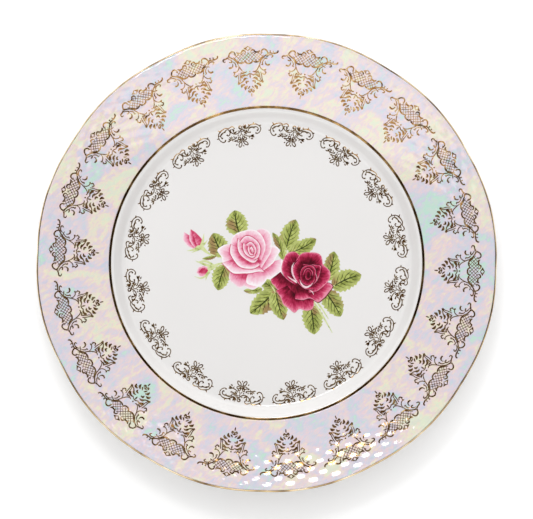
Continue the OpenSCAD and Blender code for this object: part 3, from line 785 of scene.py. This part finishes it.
crimson_petals = [
    ([(9, -14), (12, -18), (20, -20), (30, -18), (34, -10)],
     [(14, -4), (18, -3), (22, -2), (26, -2), (30, -4)], 0.0, 0.3),
    ([(2.3, -9.5), (3.5, -12.5), (6, -14.8), (10, -16.2), (14, -15.5)],
     [(8, -5), (10.5, -8), (14, -11)], 0.1, 0.78),
    ([(5.5, -16), (8, -20), (9.5, -24), (13, -26), (16.3, -28.9), (19, -27), (23, -27.5), (26.8, -26),
      (27.4, -21.5)],
     [(12, -13), (15, -16.5), (17, -18), (21, -17.5), (25, -18)], 0.12, 0.9),
    ([(16.5, -20.8), (21, -21.4), (25, -20.2), (30, -22.8), (33.5, -20.4), (35.5, -17), (38.2, -13.5),
      (36.5, -11.6), (33, -11)],
     [(17, -13.5), (20, -15.5), (24, -15.5), (28, -13), (31, -9)], 0.08, 0.98),
    ([(30.5, 2.4), (33.2, -1), (36.9, -4.5), (36.2, -9), (33.6, -13), (29.5, -16), (24.5, -17)],
     [(28, -1), (28.5, -6), (27, -10), (23, -12)], 0.02, 0.82),
    ([(20, 3.2), (17, 6.6), (13, 6), (9.4, 2), (8.5, -3), (11, -8.5), (16.5, -12.5)],
     [(19, 0), (16.5, -1.5), (16, -5), (18.5, -9)], 0.02, 0.74),
    ([(16.5, 0.5), (19.3, 4.7), (23, 6.6), (28, 6.3), (31.6, 4), (32.6, -0.5), (31, -4)],
     [(20, -3), (22.5, -1), (26, -1), (28, -5)], 0.02, 0.74),
    ([(18, 1.5), (15.1, -2.5), (15.7, -7), (18.2, -11.6), (22, -14.8), (27.5, -15.2)],
     [(21, -3), (20.5, -6), (22, -9.5), (26, -11)], 0.02, 0.7),
    ([(21, -0.5), (24.5, -0.6), (28, -1), (31.7, -1.8), (30.9, -6), (29.2, -10), (25.5, -13.4),
      (21.5, -14)],
     [(23, -4), (26, -4.5), (26.5, -8), (23.5, -10)], 0.0, 0.62),
    ([(19.4, -8), (20, -4), (22.6, -1.4), (26.4, -1.5), (28.6, -5), (27.5, -9), (24, -12)],
     [(22.5, -6.5), (24, -4.5), (25.6, -6), (24.5, -8.5)], 0.0, 0.66),
    ([(20.8, -7), (22.3, -3.6), (25, -3), (26.8, -5), (26.3, -8)],
     [(23.2, -6.8), (24, -5.5), (25, -6.5)], 0.0, 0.72),
    ([(19.4, -7.5), (20.4, -10.8), (23.5, -13), (27.2, -11), (28.6, -7)],
     [(22, -7), (23.4, -9), (26, -7.5)], 0.0, 0.6),
    ([(22.2, -6.4), (22.9, -9.3), (25.2, -9), (26, -6.6)],
     [(23.6, -6.4), (24.2, -7.4), (25, -6.4)], 0.05, 0.6),
    ([(22.6, -7.4), (22.8, -4.8), (24.6, -4.2), (25.8, -6), (25.2, -7.8)],
     [(24, -6.6), (24.2, -6.2), (24.6, -6.6)], 0.1, 0.5)]
pale_lips = [
    [(15.9, 0.4, 0.06), (14.8, -2.2, 0.3), (15.1, -6, 0.42), (16.8, -9.6, 0.28), (17.6, -10.6, 0.05)],
    [(12, -7.4, 0.06), (14, -9, 0.3), (16.6, -10.6, 0.44), (17.6, -11.6, 0.08)],
    [(19.2, -9.4, 0.06), (20.2, -12, 0.34), (22.4, -13.9, 0.52), (25, -13.2, 0.34), (26.8, -11.4, 0.06)],
    [(24.8, -15.6, 0.06), (26.6, -16.8, 0.22), (27.2, -18.4, 0.06)],
    [(28.4, -6, 0.05), (29.2, -8.4, 0.13), (29.0, -10.4, 0.05)]]

ROSE_LAYER = 10
pink = pasted("rose_pink", [petal(*shape, ROSE_LAYER + k) for k, shape in enumerate(pink_petals)] +
              [shaded(*pink_petals[k], ROSE_LAYER + k) for k in range(8, len(pink_petals))])
pink.data.materials.append(pink_paint)
fitted(pink, "pink_print", "pink_rose")

top_layer = ROSE_LAYER + len(pink_petals)
shading_petals = (3, *range(7, len(crimson_petals)))
crimson = pasted("rose_crimson", [petal(*shape, top_layer + k) for k, shape in enumerate(crimson_petals)] +
                 [shaded(*crimson_petals[k], top_layer + k, 0.1) for k in shading_petals])
crimson.data.materials.append(crimson_paint)
fitted(crimson, "crimson_print", "crimson_rose")

lips = inked("rose_pale_lips", pale_lips, 6)
points = points_of(lips)
points[:, 2] += floor_z + glaze_t + print_t / 2 + (top_layer + len(crimson_petals)) * film_step + 0.01
put_points(lips, points)
lips.data.materials.append(pale_paint)
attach(lips, "root")

large_bud = pasted("rosebud_large", [
    petal([(-48, 18.2), (-48.6, 14.6), (-46.8, 11), (-42.5, 8.2)],
          [(-44.5, 16), (-43.8, 12.5), (-41.5, 10)], 0.16, 0.72, 1),
    petal([(-44.2, 20), (-41.5, 18), (-38.5, 15.5), (-37.6, 12), (-39.5, 9.6)],
          [(-44.2, 14.5), (-43.6, 12), (-42, 9)], 0.4, 0.1, 2),
    petal([(-44.4, 19.6), (-45, 15.5), (-43.8, 11.5), (-41.4, 8.8)],
          [(-42, 15), (-41.5, 13), (-40.5, 10.5)], 0.04, 0.68, 3)])
large_bud.data.materials.append(pink_paint)
fitted(large_bud, "pink_print", "large_rosebud")

small_bud = pasted("rosebud_small", [
    petal([(-40.6, -5.8), (-40, -3), (-37.5, -1.4), (-34, -2.4)], [(-38, -6), (-35.5, -5.5), (-34, -4.5)],
          0.02, 0.66, 1),
    petal([(-40.8, -5), (-38.4, -7.7), (-35.5, -7.3), (-33.4, -5)], [(-38, -4.4), (-36, -3.8), (-34, -3.6)],
          0.02, 0.6, 2),
    petal([(-39.6, -5.4), (-37.6, -3.0), (-35.6, -2.8)], [(-37.6, -5.6), (-35.4, -5)], 0.16, 0, 3)])
small_bud.data.materials.append(pink_paint)
fitted(small_bud, "pink_print", "small_rosebud")

# --- Leaves and stems -------------------------------------------------------------------------------
# Printed in two greens, a brown and a dark line screen: each leaflet has a toothed edge, a midrib
# and side veins. Sepals and stems are drawn with single strokes of the green.

def leaf(foot, tip, half_width, bend, layer):
    """A leaflet from foot to tip, its midrib bowed to the left by bend."""
    (x0, y0), (x1, y1) = foot, tip
    length = math.hypot(x1 - x0, y1 - y0)
    ex, ey = (x1 - x0) / length, (y1 - y0) / length

    def place_of(u, v):
        side = 2 * v - 1
        blade = np.sin(math.pi * u ** 0.9) ** 0.6 * (1 - 0.15 * u)
        teeth = 1 + 0.26 * (0.5 - (u * 7.5 - 0.3 * np.abs(side)) % 1) * (np.abs(side) > 0.86)
        across = side * half_width * 1.14 * blade * teeth + bend * np.sin(math.pi * u)
        reach = length * (u - 0.05 * np.abs(side) * (1 - u))
        return x0 + reach * ex - across * ey, y0 + reach * ey + across * ex
    return patch("leaflet", 12, place_of, lambda u, v: v, layer, layer)


leaf_paint = surface("leaf_paint", Roughness=0.12, Coat_Weight=0.3, Coat_Roughness=0.03)
leaf_uv = node(leaf_paint, "SeparateXYZ", {"Vector": node(leaf_paint, "UVMap", {}).outputs["UV"]})
reach = node(leaf_paint, "Math", {0: leaf_uv.outputs["X"]}, operation="FRACT").outputs[0]
side = node(leaf_paint, "MapRange", {"Value": leaf_uv.outputs["Y"], "To Min": -1, "To Max": 1}).outputs[0]
spread = node(leaf_paint, "Math", {0: side}, operation="ABSOLUTE").outputs[0]
wander = node(leaf_paint, "MapRange", {"Value": grain(leaf_paint, 300, 2), "To Min": -0.5,
                                       "To Max": 0.5}).outputs[0]
slant = node(leaf_paint, "Math", {0: spread, 1: -2.3, 2: wander}, operation="MULTIPLY_ADD").outputs[0]
phase = node(leaf_paint, "Math", {0: reach, 1: 6, 2: slant}, operation="MULTIPLY_ADD").outputs[0]
saw = node(leaf_paint, "Math", {0: phase}, operation="FRACT").outputs[0]
off_vein = node(leaf_paint, "Math",
                {0: node(leaf_paint, "Math", {0: saw, 1: 0.5}, operation="SUBTRACT").outputs[0]},
                operation="ABSOLUTE").outputs[0]
vein = node(leaf_paint, "MapRange", {"Value": off_vein, "From Min": 0.04, "From Max": 0.13, "To Min": 1,
                                     "To Max": 0}).outputs[0]
rib = node(leaf_paint, "MapRange", {"Value": spread, "From Min": 0.035, "From Max": 0.09, "To Min": 1,
                                    "To Max": 0}).outputs[0]
drawn = node(leaf_paint, "Math", {0: vein, 1: rib}, operation="MAXIMUM").outputs[0]
inner = node(leaf_paint, "MapRange", {"Value": spread, "From Min": 0.45, "From Max": 0.9, "To Min": 1,
                                      "To Max": 0}).outputs[0]
drawn = node(leaf_paint, "Math", {0: drawn, 1: inner}, operation="MULTIPLY").outputs[0]
dark_olive, olive, yellow_green = (0.18, 0.22, 0.04), (0.36, 0.41, 0.095), (0.54, 0.60, 0.19)
pale_edge, russet, vein_ink = (0.52, 0.57, 0.20, 1), (0.32, 0.155, 0.085, 1), (0.022, 0.03, 0.01, 1)
green = bands(leaf_paint, grain(leaf_paint, 330, 4, 0.5),
              [(0.3, dark_olive), (0.5, olive), (0.68, yellow_green)])
edge = node(leaf_paint, "MapRange", {"Value": spread, "From Min": 0.3, "From Max": 1, "To Min": 0,
                                     "To Max": 0.8}).outputs[0]
green = node(leaf_paint, "Mix", {0: edge, 6: green, 7: pale_edge}, data_type="RGBA").outputs[2]
brown_part = node(leaf_paint, "MapRange", {"Value": grain(leaf_paint, 120, 1), "From Min": 0.46,
                                           "From Max": 0.6, "To Min": 0, "To Max": 0.75}).outputs[0]
one_side = node(leaf_paint, "MapRange", {"Value": side, "From Min": -0.1, "From Max": 0.3}).outputs[0]
brown_part = node(leaf_paint, "Math", {0: brown_part, 1: one_side}, operation="MULTIPLY").outputs[0]
tinted = node(leaf_paint, "Mix", {0: brown_part, 6: green, 7: russet}, data_type="RGBA").outputs[2]
veined = node(leaf_paint, "Mix", {0: drawn, 6: tinted, 7: vein_ink}, data_type="RGBA").outputs[2]
connect(leaf_paint, veined, "Base Color")

for k, (foot, tip, half_width, bend) in enumerate([
        ((-15.8, 17), (-18.6, 31), 6.0, 0.5), ((-25, 4.5), (-31.2, 17.6), 5.6, 0.6),
        ((-24, -1.5), (-28.3, -15.8), 5.0, -0.6), ((11.4, 8.4), (16.8, 25.6), 5.2, 0.5),
        ((35.2, -9.5), (39.2, 7), 4.6, -0.7), ((38.6, -13.6), (55, -6.6), 5.6, 0.9),
        ((34, -16.5), (43, -31), 5.4, 0.4), ((25.4, -25), (27.6, -41.4), 5.6, 0.3)]):
    leaflet = pasted(f"rose_leaflet_{k + 1}", [leaf(foot, tip, half_width, bend, 1 + k % 2)])
    leaflet.data.materials.append(leaf_paint)
    fitted(leaflet, "green_print", f"rose_leaf_{k + 1}")

small = pasted("rose_leaflets_small", [leaf(*shape, 3 + k) for k, shape in enumerate([
    ((13.4, 6), (28.8, 14.2), 4.4, -0.8), ((4.6, -16.4), (-9.6, -29.2), 5.8, 0.6),
    ((5.2, -16), (9.8, -33), 4.8, -0.5), ((9.4, 2.6), (3.4, 18), 2.5, -1.2),
    ((7, -15.6), (-4.4, -9), 3.2, 0.5), ((-3, -15), (-13.4, -16), 1.8, 0.5),
    ((-29.5, 4.4), (-37.4, 2.6), 1.1, 0.4)])])
small.data.materials.append(leaf_paint)
fitted(small, "green_print", "small_leaves")

sepals = [
    [(-41.5, 8.6, 0.3), (-39.6, 9.4, 0.9), (-37.4, 8.8, 1.0), (-35.4, 7, 0.7), (-33.4, 5.6, 0.4),
     (-30, 4.4, 0.25)],
    [(-38, 9.6, 0.9), (-37.1, 13, 0.6), (-36.4, 17.4, 0.06)],
    [(-37.8, 9.8, 0.7), (-35.6, 12, 0.4), (-34.4, 13.6, 0.06)],
    [(-39.6, 9.2, 0.6), (-43, 7.8, 0.5), (-46.4, 7.2, 0.06)],
    [(-38.4, 8.6, 0.5), (-41.4, 7.2, 0.34), (-43.6, 6.2, 0.06)],
    [(-34.2, -3.8, 0.9), (-31.6, -2.4, 1.1), (-28.6, -0.8, 0.6), (-25, 0.4, 0.3)],
    [(-32, -2, 0.7), (-36.6, -0.4, 0.6), (-41.4, 1.4, 0.06)],
    [(-31, -1, 0.5), (-35.6, 1.2, 0.5), (-40.6, 0.6, 0.06)],
    [(-33.2, -4.6, 0.7), (-34.8, -7.4, 0.5), (-35.4, -10, 0.06)],
    [(-33.8, -5.2, 0.5), (-37.6, -8.6, 0.4), (-42, -7.6, 0.06)]]
stalks = [
    [(27.4, -20.4, 0.4), (32, -26.4, 0.4), (35.8, -32.4, 0.16)],
    [(26.6, -21.4, 0.4), (32.4, -30.6, 0.46), (38, -40.4, 0.16)],
    [(12.6, 1, 0.3), (11.8, 5, 0.3), (11.6, 9, 0.2)],
    [(34, -12, 0.3), (36.6, -12.6, 0.3), (39.6, -13.2, 0.2)],
    [(2.6, -13, 0.3), (4, -15, 0.36), (5, -17, 0.2)],
    [(-26.6, 3, 0.3), (-25.4, 3.8, 0.3), (-23, 3.4, 0.2)]]
stalk_paint = surface("stalk_paint", Roughness=0.12, Coat_Weight=0.3, Coat_Roughness=0.03)
connect(stalk_paint, bands(stalk_paint, grain(stalk_paint, 420, 3),
                           [(0.3, (0.36, 0.44, 0.14)), (0.46, (0.62, 0.68, 0.33)),
                            (0.66, (0.68, 0.72, 0.40))]), "Base Color")
stems_print = inked("rose_stalks", stalks + sepals, 6)
points = points_of(stems_print)
points[:, 2] += floor_z + glaze_t + print_t / 2 + 6 * film_step
put_points(stems_print, points)
stems_print.data.materials.append(stalk_paint)
fitted(stems_print, "green_print", "rose_stems")
